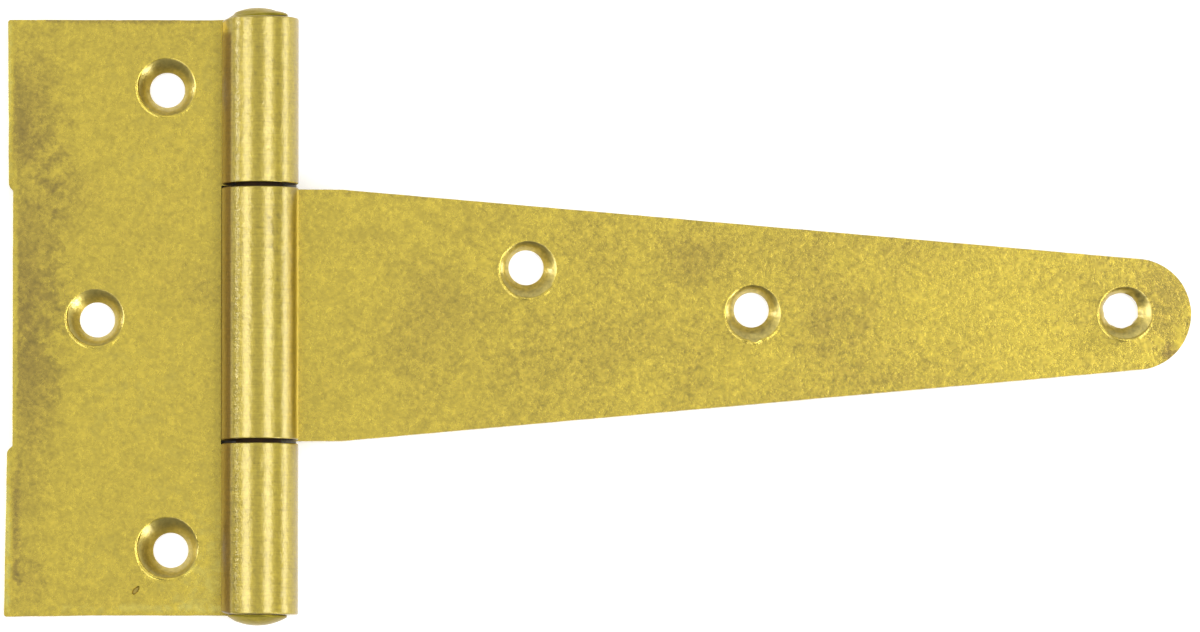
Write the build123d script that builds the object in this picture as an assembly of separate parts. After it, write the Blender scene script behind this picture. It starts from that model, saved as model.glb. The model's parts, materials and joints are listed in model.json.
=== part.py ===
from build123d import *
import os
from math import asin, atan2, cos, degrees, hypot, radians, sin

# A tee hinge: a flap and a long strap of sheet steel, each rolled round one riveted pin.
# Sizes are in millimetres. X runs from the pin's axis along the strap and Y along the pin.
# Z is height above the plane that both leaves' backs lie in. Y is 0 at the flap's mid-height.

# Sheet, pin and fits
sheet = 2.5                  # thickness of both leaves
pin_diameter = 7.7
pin_clearance = 0.1          # radial, between the pin and the inside of every curl
knuckle_gap = 0.6            # along the pin, between neighbouring knuckles
seam_gap = 0.3               # a curl's cut end stops this far above its own leaf
notch_clearance = 0.25       # between the strap's barrel and the edge of the flap's notch
knuckle_edge = 0.4           # break on the outer rim of each knuckle end
rollover = 0.5               # radius that the press leaves on the front edges of a leaf
corner_radius = 0.5          # plan radius at the outer corners of the flap's blank
notch_corner_radius = 0.4    # plan radius that the punch leaves in the notch's two inner corners

# Peened heads of the pin
head_diameter = 10.0
head_height = 1.75
head_rim = 0.35              # height of the head's upright edge below its dome
head_offset = 0.4            # the heads were peened over a little towards the flap

# Screw holes, countersunk from the front
hole_diameter = 5.9
countersink_diameter = 9.7
countersink_angle = 90.0

# Flap
flap_height = 100.3
flap_reach = 42.5            # from the pin's axis to the upper outer corner
upper_ear_taper = 0.2        # the outer edge draws in this far from there down to the step
lower_ear_flare = 0.45       # and stands out this much further at the lower outer corner
lower_edge_reach = 27.0      # from the pin's axis to where the lower edge starts to drop to that corner
flap_pair_reach = 15.65      # from the pin's axis to the upper hole
lower_hole_shift = 0.7       # the lower hole was punched this much nearer the pin
flap_pair_spacing = 77.5
flap_middle_reach = 27.35    # from the pin's axis to the middle hole
flap_hole_drop = 0.35        # the three holes are centred this far below the flap's mid-height
parting_height = 44.5        # shallow step in the outer edge, where the next blank's tongue was sheared out
parting_depth = 0.9
parting_drop = 0.2           # the step's middle lies this far below the flap's
parting_lead = 0.8           # length of the slanted run at each end of the step

# Strap
strap_width = 42.4
strap_rise = 0.4             # the strap's centreline lies this far above the flap's mid-height
strap_reach = 156.85         # from the pin's axis to the tip
strap_parallel = 13.8        # from the pin's axis to where the taper starts
tip_radius = 9.4
tip_rise = 0.35              # the tip is centred this far above the strap's centreline
tip_hole_inset = 11.85       # from the tip back to the outermost hole
row_spacing = 62.3           # from that hole back to the middle one
row_rise = 1.05              # both lie this far above the strap's centreline
root_hole_step = 37.95       # from the middle hole back to the one near the barrel
root_hole_rise = 8.15        # that one lies this far above the strap's centreline

# Sizes that follow from those above
bore_radius = pin_diameter / 2 + pin_clearance
barrel_radius = bore_radius + sheet
notch_reach = barrel_radius + notch_clearance
notch_top = strap_rise + strap_width / 2 + knuckle_gap
notch_bottom = strap_rise - strap_width / 2 - knuckle_gap
tip_hole_reach = strap_reach - tip_hole_inset
middle_hole_reach = tip_hole_reach - row_spacing
root_hole_reach = middle_hole_reach - root_hole_step


def curl_section(side):
    """Cross-section of a curl, with its leaf leaving tangentially towards side (1 for +X, -1 for -X).

    The sheet wraps from under the pin, over the far side and the top, and down again to the leaf's front face.
    """
    seam_drop = degrees(asin((barrel_radius - sheet - seam_gap) / barrel_radius))
    full_turn = Circle(barrel_radius) - Circle(bore_radius)
    blade = 2 * barrel_radius
    mouth_corner = (blade * cos(radians(seam_drop)), -blade * sin(radians(seam_drop)))
    mouth = make_face(Polyline((0, 0), mouth_corner, (mouth_corner[0], -2 * blade), (0, -2 * blade), close=True))
    section = full_turn - mouth
    if side < 0:
        section = mirror(section, about=Plane.YZ)
    return Plane.XZ * Pos(0, barrel_radius) * section


def knuckle(side, bottom, top):
    """A curl from bottom to top along the pin, with both of its outer rims broken."""
    tube = Pos(0, top, 0) * extrude(curl_section(side), amount=top - bottom)
    rims = [
        edge
        for edge in tube.edges().filter_by(GeomType.CIRCLE)
        if abs(edge.radius - barrel_radius) < knuckle_edge / 2
    ]
    return chamfer(rims, knuckle_edge)


def leaf(outline):
    """A flat blank of the sheet's thickness, with rollover round its front face except at the curl's root."""
    blank = extrude(outline, amount=sheet)
    front_edges = blank.faces().sort_by(Axis.Z)[-1].edges()
    return fillet(front_edges.filter_by(lambda edge: abs(edge.center().X) > rollover), rollover)


def screw_hole(x, y):
    """Cutter for one countersunk hole that opens wide at the front face."""
    spread = (countersink_diameter - hole_diameter) / 2
    depth = spread / sin(radians(countersink_angle / 2)) * cos(radians(countersink_angle / 2))
    shank = Cylinder(hole_diameter / 2, 2 * sheet, align=(Align.CENTER, Align.CENTER, Align.CENTER))
    sink = Cone(hole_diameter / 2, countersink_diameter / 2, depth, align=(Align.CENTER, Align.CENTER, Align.MAX))
    return Pos(x, y, sheet / 2) * shank + Pos(x, y, sheet) * sink


def flap_outline():
    """Plan of the flap's flat part, with its notch for the strap's barrel and the step in its outer edge."""
    half = flap_height / 2
    step_x = -flap_reach + parting_depth
    step_top = parting_height / 2 - parting_drop
    step_bottom = -parting_height / 2 - parting_drop
    corners = Polyline(
        (0, half),
        (-flap_reach, half),
        (-flap_reach + upper_ear_taper, step_top),
        (step_x, step_top - parting_lead),
        (step_x, step_bottom + parting_lead),
        (-flap_reach, step_bottom),
        (-flap_reach - lower_ear_flare, -half - lower_ear_flare / 2),
        (-lower_edge_reach, -half),
        (0, -half),
        (0, notch_bottom),
        (-notch_reach, notch_bottom),
        (-notch_reach, notch_top),
        (0, notch_top),
        close=True,
    )
    plan = make_face(corners)
    inner_corners = plan.vertices().filter_by(lambda corner: abs(corner.X + notch_reach) < notch_corner_radius)
    plan = fillet(inner_corners, notch_corner_radius)
    outer_corners = plan.vertices().filter_by(lambda corner: corner.X < -lower_edge_reach - corner_radius)
    return fillet(outer_corners, corner_radius)


def strap_outline():
    """Plan of the strap's flat part: parallel at its root, then tapering to run out into the round tip."""
    half = strap_width / 2
    tip_x = strap_reach - tip_radius
    run = tip_x - strap_parallel

    def touch_point(side):
        """Where the edge on that side (1 upper, -1 lower) meets the tip's arc."""
        fall = half - side * tip_rise
        taper = atan2(fall, run) - asin(tip_radius / hypot(run, fall))
        return tip_x + tip_radius * sin(taper), tip_rise + side * tip_radius * cos(taper)

    upper = Polyline((0, half), (strap_parallel, half), touch_point(1))
    tip = ThreePointArc(touch_point(1), (strap_reach, tip_rise), touch_point(-1))
    lower = Polyline(touch_point(-1), (strap_parallel, -half), (0, -half), (0, half))
    return Pos(0, strap_rise) * make_face(upper + tip + lower)


def make_flap():
    """The flap: one blank with three screw holes and the upper and lower knuckles."""
    half = flap_height / 2
    body = leaf(flap_outline()) + knuckle(-1, notch_top, half) + knuckle(-1, -half, notch_bottom)
    for x, y in (
        (-flap_pair_reach, flap_pair_spacing / 2),
        (-flap_middle_reach, 0),
        (-flap_pair_reach + lower_hole_shift, -flap_pair_spacing / 2),
    ):
        body -= screw_hole(x, y - flap_hole_drop)
    return body


def make_strap():
    """The strap: one tapering blank with three screw holes and the middle knuckle."""
    half = strap_width / 2
    body = leaf(strap_outline()) + knuckle(1, strap_rise - half, strap_rise + half)
    for x, y in (
        (root_hole_reach, strap_rise + root_hole_rise),
        (middle_hole_reach, strap_rise + row_rise),
        (tip_hole_reach, strap_rise + row_rise),
    ):
        body -= screw_hole(x, y)
    return body


def pin_head():
    """A peened head that sits on the plane Z = 0: a short upright rim under a shallow dome."""
    radius = head_diameter / 2
    crown = head_height - head_rim
    sphere = (radius**2 + crown**2) / (2 * crown)
    profile = Polyline((0, head_height), (0, 0), (radius, 0), (radius, head_rim))
    dome = ThreePointArc(
        (radius, head_rim),
        (radius / 2, head_height - sphere + (sphere**2 - radius**2 / 4) ** 0.5),
        (0, head_height),
    )
    return revolve(Plane.XZ * make_face(profile + dome), Axis.Z)


def make_pin():
    """The pin: a shank through the three knuckles, with a head seated on each outer knuckle's end."""
    half = flap_height / 2
    axis = Pos(0, 0, barrel_radius)
    shank = axis * Rot(90, 0, 0) * Cylinder(pin_diameter / 2, flap_height)
    top = axis * Pos(-head_offset, half, 0) * Rot(-90, 0, 0) * pin_head()
    bottom = axis * Pos(-head_offset, -half, 0) * Rot(90, 0, 0) * pin_head()
    return shank + top + bottom


os.makedirs("parts", exist_ok=True)
for name, solid in (("flap", make_flap()), ("strap", make_strap()), ("pin", make_pin())):
    export_step(solid, f"parts/{name}.step")
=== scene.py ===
"""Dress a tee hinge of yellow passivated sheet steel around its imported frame. Every length is in metres."""

import json
import logging
import math
from collections.abc import Callable, Iterable
from dataclasses import dataclass, field
from enum import Enum

import bmesh
import bpy
from bmesh.types import BMEdge, BMesh, BMFace, BMVert
from mathutils import Matrix, Vector, noise


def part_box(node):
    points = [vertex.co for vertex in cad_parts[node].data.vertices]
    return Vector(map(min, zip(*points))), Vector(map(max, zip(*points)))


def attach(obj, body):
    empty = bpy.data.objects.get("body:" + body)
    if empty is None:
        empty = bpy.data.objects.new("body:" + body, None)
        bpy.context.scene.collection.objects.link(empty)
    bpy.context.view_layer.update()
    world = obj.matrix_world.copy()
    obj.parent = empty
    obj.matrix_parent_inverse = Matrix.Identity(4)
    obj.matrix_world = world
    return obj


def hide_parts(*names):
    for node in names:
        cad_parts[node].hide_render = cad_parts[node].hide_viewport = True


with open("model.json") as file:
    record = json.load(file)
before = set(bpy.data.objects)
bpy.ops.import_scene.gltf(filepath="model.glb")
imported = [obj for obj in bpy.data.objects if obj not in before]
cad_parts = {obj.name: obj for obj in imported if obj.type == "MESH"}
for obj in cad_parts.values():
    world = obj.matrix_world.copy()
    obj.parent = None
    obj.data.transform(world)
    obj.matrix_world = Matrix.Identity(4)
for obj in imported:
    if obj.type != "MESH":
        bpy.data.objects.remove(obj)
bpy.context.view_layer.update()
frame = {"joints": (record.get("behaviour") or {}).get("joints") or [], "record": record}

LOG = logging.getLogger("tee_hinge")
MM = 0.001
TOUCH = 0.001 * MM  # two places nearer than this are one place
SMOOTH_UP_TO = 38.0  # faces that meet at a smaller angle than this, in degrees, shade as one
NOISE_MIDDLE = 0.5
NOISE_LOW, NOISE_HIGH = 0.3, 0.7  # smooth noise mostly lies between these

Colour = tuple[float, float, float]
Place = tuple[float, float, float]


class Side(Enum):
    """The way a leaf runs from the pin: towards -X or towards +X."""

    LEFT = -1
    RIGHT = 1


class Trace(Enum):
    """What a point of a piece remembers of how it was made, and where shade and reflections are painted on
    it, kept as mesh attributes for the finishes.
    """

    BLANK = "blank"  # its place on the flat, unrolled blank
    ROLLED = "rolled"  # 1 where the rolling tool burnished the sheet
    SUNK = "sunk"  # 1 on the cut cone of a screw hole
    TURN = "turn"  # distance from the screw hole's axis
    SHEARED_AND_SHADE = "sheared"  # how far cut steel has darkened, and the painted shade in the knuckle gaps and pits, up to 1
    PAINTED_REFLECTION = "lee"  # 1 on the flank of a knuckle that faces the flap, where a brown painted reflection of the flap's shaded face is laid


@dataclass(frozen=True)
class Datum:
    """Places that all the pieces share, read from the frame.

    Attributes:
        axis_height: Height of the pin's axis above the leaves' backs.
        flap_half: Half the flap's height.
        strap_low: Lowest corner of the strap.
        strap_high: Highest corner of the strap.
        pin_low: Lowest corner of the pin.
        pin_high: Highest corner of the pin.
    """

    axis_height: float
    flap_half: float
    strap_low: Vector
    strap_high: Vector
    pin_low: Vector
    pin_high: Vector

    @classmethod
    def read(cls) -> "Datum":
        """Returns: The datum of the frame that was loaded."""
        swing = frame["joints"][0]
        return cls(swing["pos_m"][2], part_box("flap")[1].y, *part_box("strap"), *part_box("pin"))

    @property
    def axis(self) -> Vector:
        """A point on the pin's axis."""
        return Vector((0, 0, self.axis_height))

    def from_axis(self, place: Vector) -> float:
        """Returns: How far a place is from the pin's axis."""
        return math.hypot(place.x, place.z - self.axis_height)


def mount_holes(mount_name: str) -> list[Vector]:
    """Find the centres of the screw holes that one mount of the record gives.

    Args:
        mount_name: Name of a bolt pattern in the record.

    Returns:
        The holes' centres on the back plane, in order of rising X.
    """
    mount = next(m for m in frame["record"]["mounts"] if m["name"] == mount_name)
    count = mount["dims"]["count"]
    spacing = mount["dims"]["spacing_x_mm"] * MM
    middle = Vector(mount["pos_m"])
    return [middle + Vector((spacing * (place - (count - 1) / 2), 0, 0)) for place in range(count)]


def mm(*lengths: float) -> tuple[float, ...]:
    """Returns: Lengths that are given in millimetres, in metres."""
    return tuple(length * MM for length in lengths)


def linear(*display: int) -> Colour:
    """Turn a display colour into the linear colour that shaders take.

    Args:
        *display: Red, green and blue as displayed, 0 to 255.

    Returns:
        The linear colour, 0 to 1 a channel.
    """
    shares = [value / 255 for value in display]
    return tuple(share / 12.92 if share <= 0.04045 else ((share + 0.055) / 1.055) ** 2.4 for share in shares)


def heading(angle: float) -> Vector:
    """Returns: The direction in plan at that angle from +X, in degrees."""
    return Vector((math.cos(math.radians(angle)), math.sin(math.radians(angle))))


def stand(place: Vector, aim: Vector) -> Matrix:
    """Find how a camera or a lamp stands.

    Args:
        place: Where it stands.
        aim: The point that it faces.

    Returns:
        Its place in the world, with its own Y axis kept near the world's.
    """
    away = (place - aim).normalized()
    across = Vector((0, 1, 0)).cross(away).normalized()
    turned = Matrix((across, away.cross(across), away)).transposed()
    return Matrix.Translation(place) @ turned.to_4x4()


@dataclass(frozen=True)
class Signal:
    """A number, colour, place or shader that a node gives. Arithmetic on it places Math nodes.

    Attributes:
        bench: The bench that the node is on.
        socket: The node's output.
    """

    bench: "Bench"
    socket: bpy.types.NodeSocket

    def __add__(self, other: "Signal | float") -> "Signal":
        """Returns: The sum."""
        return self.bench.math("ADD", self, other)

    def __sub__(self, other: "Signal | float") -> "Signal":
        """Returns: The difference."""
        return self.bench.math("SUBTRACT", self, other)

    def __mul__(self, other: "Signal | float") -> "Signal":
        """Returns: The product."""
        return self.bench.math("MULTIPLY", self, other)

    def __abs__(self) -> "Signal":
        """Returns: The size without its sign."""
        return self.bench.math("ABSOLUTE", self)


class Bench:
    """Places and wires the nodes of one material, or of the world."""

    def __init__(self, owner: bpy.types.Material | bpy.types.World) -> None:
        """Clear the owner's nodes.

        Args:
            owner: The material or world that gets the nodes.
        """
        owner.use_nodes = True
        self.owner = owner
        self.tree = owner.node_tree
        self.tree.nodes.clear()

    def node(self, kind: str, inputs: dict[str | int, object], **settings: object) -> bpy.types.Node:
        """Add a node.

        Args:
            kind: The node's type, without its ShaderNode prefix.
            inputs: What its inputs get, by name or number: a signal or a constant each.
            **settings: Properties to set on it.

        Returns:
            The new node.
        """
        made = self.tree.nodes.new(f"ShaderNode{kind}")
        for name, value in settings.items():
            setattr(made, name, value)
        for key, value in inputs.items():
            socket = made.inputs[key]
            if isinstance(value, Signal):
                self.tree.links.new(value.socket, socket)
            elif isinstance(value, tuple) and socket.type == "RGBA":
                socket.default_value = (*value, 1.0)
            else:
                socket.default_value = value
        return made

    def signal(
        self, kind: str, inputs: dict[str | int, object], output: str | int = 0, **settings: object
    ) -> Signal:
        """Returns: One output, by name or number, of a new node."""
        return Signal(self, self.node(kind, inputs, **settings).outputs[output])

    def attribute(self, trace: Trace, output: str = "Fac") -> Signal:
        """Returns: A trace of the mesh, as a number (output Fac) or a place (output Vector)."""
        return self.signal("Attribute", {}, output, attribute_name=trace.value)

    def axes(self, place: Signal) -> list[Signal]:
        """Returns: The X, Y and Z of a place."""
        return [Signal(self, output) for output in self.node("SeparateXYZ", {0: place}).outputs]

    def math(self, operation: str, first: Signal, second: Signal | float = 0.0) -> Signal:
        """Returns: Two numbers combined by an operation of the Math node."""
        return self.signal("Math", {0: first, 1: second}, operation=operation)

    def vector(
        self, operation: str, first: Signal, second: Place = (0.0, 0.0, 0.0), output: str = "Vector"
    ) -> Signal:
        """Returns: Two places combined by an operation of the Vector Math node."""
        return self.signal("VectorMath", {0: first, 1: second}, output, operation=operation)

    def ramp(
        self,
        value: Signal,
        low: float,
        high: float,
        to_low: float = 0.0,
        to_high: float = 1.0,
        curve: str = "SMOOTHSTEP",
    ) -> Signal:
        """Map a range to another.

        Args:
            value: The number to map.
            low: Where the source range starts.
            high: Where the source range ends.
            to_low: Result at and before low.
            to_high: Result at and after high.
            curve: The Map Range node's interpolation.

        Returns:
            The result.
        """
        inputs = dict(enumerate((value, low, high, to_low, to_high)))
        return self.signal("MapRange", inputs, interpolation_type=curve)

    def spread(self, variation: Signal, to_low: float, to_high: float) -> Signal:
        """Returns: Noise stretched to fill a range."""
        return self.ramp(variation, NOISE_LOW, NOISE_HIGH, to_low, to_high)

    def noise(self, place: Signal, size: float, detail: float, roughness: float, warp: float = 0.0) -> Signal:
        """Add smooth random variation.

        Args:
            place: The coordinates.
            size: Rough size of one blotch, in the coordinates' units.
            detail: Octaves of finer variation.
            roughness: How strong the finer octaves are.
            warp: How far the pattern is pulled about.

        Returns:
            The variation, about 0 to 1 round 0.5.
        """
        made = self.node("TexNoise", {"Vector": place, "Scale": 1 / size}, noise_dimensions="3D")
        for name, value in (("Detail", detail), ("Roughness", roughness), ("Distortion", warp)):
            made.inputs[name].default_value = value
        return Signal(self, made.outputs["Fac"])

    def blend(self, share: Signal, first: object, second: object, data_type: str = "RGBA") -> Signal:
        """Returns: Two colours, or two numbers with data type FLOAT, mixed by the share of the second."""
        return self.signal("Mix", {"Factor": share, "A": first, "B": second}, "Result", data_type=data_type)

    def close(self, shader: Signal) -> bpy.types.Material | bpy.types.World:
        """Wire the finished shader to the output.

        Args:
            shader: The finished shader.

        Returns:
            The material or the world.
        """
        kind = "OutputWorld" if isinstance(self.owner, bpy.types.World) else "OutputMaterial"
        self.node(kind, {"Surface": shader})
        return self.owner


@dataclass(frozen=True)
class StainOrEdgeLight:
    """A soft patch of darker or paler plating colour: a stain in the film, or a painted highlight or painted
    shade along an edge.

    Attributes:
        x: Its middle along the hinge.
        y: Its middle along the pin.
        long: Half its length in X.
        wide: Half its width in Y.
        strength: How far it goes towards tarnish, or towards pale plating if negative.
    """

    x: float
    y: float
    long: float
    wide: float
    strength: float


@dataclass(frozen=True)
class PassivatedZinc:
    """Yellow passivated zinc plating over rolled sheet steel.

    Attributes:
        name: The material's name.
        stains_and_edge_light: Patches of darker or paler film, and painted highlights and shade along edges.
        clean: Colour of sound plating.
        pale: Colour of the thinnest film.
        tarnish: Colour of the thick brown film.
        lee: Colour of the knuckles' flank that faces the flap: a painted reflection of the flap's shaded
            face.
        cut: Colour of the cut walls of the screw holes.
        cut_share: How much of that colour shows there.
        cut_steel_and_shade: Colour of sheared steel on the cut edges, and of the painted shade in the knuckle
            gaps and pits.
        edge: Colour of the plating's shine at a glancing angle.
        patch_fade: Where a patch starts and ends its fading, in shares of its half length.
        patch_fray: How far the mottle pulls that border about, in the same shares.
        cloud: Size of the broadest changes of the film.
        cloud_film: Least and greatest film that they add.
        mottle: Size of the patches in the film.
        mottle_film: Least and greatest film that they add.
        mottle_top: The mottle's noise at which the film is thickest.
        mottle_depth: Height of the sheet's relief in those patches, on the flat sheet and on the knuckles.
        roughness: Least and greatest roughness of the flat sheet.
        rolled_roughness: Least and greatest roughness of the rolled knuckles.
        rolled_tone: How bright the plating is on them, against the flat sheet's.
        rolled_grain: How much of the grain's height the rolling tool left.
        sunk_roughness: Roughness of the screw holes' walls.
        grain: Size of the sheet's fine grain.
        grain_depth: Height of that grain.
        grain_tone: How much the grain lightens and darkens the plating.
        dust: Size of the finest specks.
        dust_share: How strong they are against the grain.
        fleck: Size of the coarser flecks in the plating.
        fleck_tone: How much the flecks lighten and darken it.
        stain_gain: How many times stronger grain and flecks are where the film is thick.
        coarse_from: Distance from the pin at which the grain starts to coarsen.
        coarse_run: Length over which it does.
        coarse_gain: How many times stronger the grain is beyond there.
        line_pitch: Spacing of the fine lines that the rolling tool drew round a curl.
        line_run: How many times longer than wide they are.
        line_depth: Depth of those lines.
        line_tone: How much they darken and lighten the plating.
        turning_pitch: Spacing of the cutter's marks in the screw holes.
        turning_depth: Depth of those marks.
        painted_reflection_end: Where along the pin the painted reflection on the flank starts and ends its
            fading.
        painted_reflection_metal: How metallic that flank is, so that the painted reflection stands in for its
            own.
        lacquer: Refractive index of the clear passivation film.
        lacquer_roughness: Roughness of that film.
    """

    name: str
    stains_and_edge_light: tuple[StainOrEdgeLight, ...] = ()
    clean: Colour = linear(197, 175, 52)
    pale: Colour = linear(213, 198, 88)
    tarnish: Colour = linear(140, 118, 40)
    lee: Colour = linear(140, 110, 44)
    cut: Colour = linear(188, 170, 88)
    cut_share: float = 0.8
    cut_steel_and_shade: Colour = linear(112, 82, 38)
    edge: Colour = linear(217, 196, 124)
    patch_fade: tuple[float, float] = (0.1, 1.5)
    patch_fray: float = 0.5
    cloud: float = 17 * MM
    cloud_film: tuple[float, float] = (-0.1, 0.14)
    mottle: float = 2.6 * MM
    mottle_film: tuple[float, float] = (-0.2, 0.32)
    mottle_top: float = 0.75
    mottle_depth: tuple[float, ...] = mm(0.03, 0.1)
    roughness: tuple[float, float] = (0.21, 0.31)
    rolled_roughness: tuple[float, float] = (0.35, 0.45)
    rolled_tone: float = 0.6
    rolled_grain: float = 0.25
    sunk_roughness: float = 0.36
    grain: float = 0.55 * MM
    grain_depth: float = 0.02 * MM
    grain_tone: float = 0.36
    dust: float = 0.2475 * MM
    dust_share: float = 0.3
    fleck: float = 1.1 * MM
    fleck_tone: float = 0.55
    stain_gain: float = 1.7
    coarse_from: float = 34 * MM
    coarse_run: float = 14 * MM
    coarse_gain: float = 1.25
    line_pitch: float = 0.35 * MM
    line_run: float = 20.0
    line_depth: float = 0.015 * MM
    line_tone: tuple[float, float] = (-0.15, 0.1)
    turning_pitch: float = 0.12 * MM
    turning_depth: float = 0.02 * MM
    painted_reflection_end: tuple[float, ...] = mm(46.8, 48.4)
    painted_reflection_metal: float = 0.1
    lacquer: float = 1.58
    lacquer_roughness: float = 0.2

    def film(self, bench: Bench, place: Signal, mottle: Signal) -> Signal:
        """Lay the uneven film, its stains and the painted edge light over the plating.

        Args:
            bench: The material's bench.
            place: Coordinates on the blank.
            mottle: Random variation that makes patches and breaks up the borders of the stains and the
                painted edge light.

        Returns:
            How thick the brown film is, below 0 where the plating is pale, with the painted edge shade and
            highlights counted in it.
        """
        total: Signal | float = 0.0
        for colour_patch in self.stains_and_edge_light:
            offset = bench.vector("SUBTRACT", place, (colour_patch.x, colour_patch.y, 0.0))
            shrunk = bench.vector("MULTIPLY", offset, (1 / colour_patch.long, 1 / colour_patch.wide, 0.0))
            fray = bench.spread(mottle, -self.patch_fray, self.patch_fray)
            reach = bench.vector("LENGTH", shrunk, output="Value") + fray
            total = bench.ramp(reach, *self.patch_fade, colour_patch.strength, 0.0) + total
        cloud = bench.noise(place, self.cloud, detail=3.0, roughness=0.55, warp=0.4)
        total = bench.ramp(mottle, NOISE_LOW, self.mottle_top, *self.mottle_film) + total
        return total + bench.spread(cloud, *self.cloud_film)

    def material(self) -> bpy.types.Material:
        """Returns: The finished material."""
        bench = Bench(bpy.data.materials.new(self.name))
        place = bench.attribute(Trace.BLANK, "Vector")
        rolled = bench.attribute(Trace.ROLLED)
        sunk = bench.attribute(Trace.SUNK)
        along_hinge, along_pin, _ = bench.axes(place)
        # Painted reflection of the flap's shaded face on the knuckles' flank, faded out near the barrel's
        # ends.
        lee = bench.attribute(Trace.PAINTED_REFLECTION) * bench.ramp(along_pin, *self.painted_reflection_end, 1.0, 0.0)
        coarse_to = self.coarse_from + self.coarse_run
        coarse = bench.ramp(along_hinge, self.coarse_from, coarse_to, 1.0, self.coarse_gain)
        mottle = bench.noise(place, self.mottle, detail=5.0, roughness=0.68, warp=0.3)
        grain = bench.noise(place, self.grain, detail=2.0, roughness=0.6)
        round_curl = bench.vector("MULTIPLY", place, (1 / self.line_run, 1.0, 1 / self.line_run))
        lines = bench.noise(round_curl, self.line_pitch, detail=3.0, roughness=0.7)

        film = self.film(bench, place, mottle)
        colour = bench.blend(bench.ramp(film, 0.0, -1.0), self.clean, self.pale)
        colour = bench.blend(bench.ramp(film, 0.0, 1.0), colour, self.tarnish)
        colour = bench.blend(sunk * self.cut_share, colour, self.cut)
        # Brown painted reflection on the knuckles' flank.
        colour = bench.blend(lee, colour, self.lee)
        # Cut edges darken, and painted shade darkens the curl ends in the knuckle gaps and the pit's bottom.
        colour = bench.blend(bench.attribute(Trace.SHEARED_AND_SHADE), colour, self.cut_steel_and_shade)

        dust = bench.noise(place, self.dust, detail=1.0, roughness=0.5)
        fleck = bench.noise(place, self.fleck, detail=3.0, roughness=0.6, warp=0.3)
        specks = grain + dust * self.dust_share - NOISE_MIDDLE * (1 + self.dust_share)
        speckle = specks * self.grain_tone * coarse + (fleck - NOISE_MIDDLE) * self.fleck_tone * coarse
        speckle = speckle * bench.ramp(film, 0.0, 0.5, 1.0, self.stain_gain)
        speckle = speckle + bench.spread(lines, *self.line_tone) * rolled
        tone = (speckle + 1.0) * bench.ramp(rolled, 0.0, 1.0, 1.0, self.rolled_tone)
        toned = bench.signal("VectorMath", {0: colour, "Scale": tone}, operation="SCALE")

        rough = bench.spread(mottle, *self.roughness)
        rough = bench.blend(rolled, rough, bench.spread(lines, *self.rolled_roughness), "FLOAT")
        rough = bench.blend(sunk, rough, self.sunk_roughness, "FLOAT")

        relief = grain * self.grain_depth * coarse * bench.ramp(rolled, 0.0, 1.0, 1.0, self.rolled_grain)
        relief = relief + mottle * bench.ramp(rolled, 0.0, 1.0, *self.mottle_depth)
        relief = relief + lines * self.line_depth * rolled
        from_middle = bench.vector("MULTIPLY", bench.attribute(Trace.TURN), (1.0, 0.0, 0.0))
        turning = bench.noise(from_middle, self.turning_pitch, detail=2.0, roughness=0.7)
        relief = relief + turning * self.turning_depth * sunk
        normal = bench.signal("Bump", {"Height": relief, "Distance": 1.0, "Strength": 1.0})

        return bench.close(bench.signal("BsdfPrincipled", {
            "Base Color": toned,
            "Specular Tint": self.edge,
            # Where the reflection is painted, the flank loses its metal and coat, so only the painted brown
            # shows.
            "Metallic": bench.ramp(lee, 0.0, 1.0, 1.0, self.painted_reflection_metal),
            "Roughness": rough,
            "Coat Weight": bench.ramp(lee, 0.0, 1.0, 1.0, 0.0),
            "Coat IOR": self.lacquer,
            "Coat Roughness": self.lacquer_roughness,
            "Normal": normal,
            "Coat Normal": normal,
        }))


def layer(bm: BMesh, trace: Trace) -> object:
    """Returns: The mesh's layer that keeps a trace, which is added if it isn't there."""
    kind = bm.verts.layers.float_vector if trace is Trace.BLANK else bm.verts.layers.float
    return kind.get(trace.value) or kind.new(trace.value)


def at_height(points: Iterable[BMVert], height: float) -> bool:
    """Returns: Whether all these points lie at that height."""
    return all(abs(point.co.z - height) < TOUCH for point in points)


def bevel(
    bm: BMesh, items: list[BMVert | BMEdge], width: float, segments: int, affect: str = "EDGES"
) -> None:
    """Round edges or corners.

    Args:
        bm: The mesh.
        items: The edges, or the corner points.
        width: Width of the rounding.
        segments: Facets across it.
        affect: EDGES or VERTICES.
    """
    bmesh.ops.bevel(
        bm,
        geom=items,
        offset=width,
        offset_type="OFFSET",
        segments=segments,
        profile=0.5,
        affect=affect,
        clamp_overlap=True,
        material=-1,
    )


def plan_face(bm: BMesh, chain: list[BMVert]) -> BMFace:
    """Close an outline on the back plane with a face that looks up.

    Args:
        bm: A mesh that holds the outline's points, and maybe some of its edges, but nothing else.
        chain: The points that still have to be joined, in order.

    Returns:
        The face.
    """
    for pair in zip(chain, chain[1:]):
        bm.edges.new(pair)
    face = bmesh.ops.contextual_create(bm, geom=bm.edges[:])["faces"][0]
    face.normal_update()
    if face.normal.z < 0:
        face.normal_flip()
    return face


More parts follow.
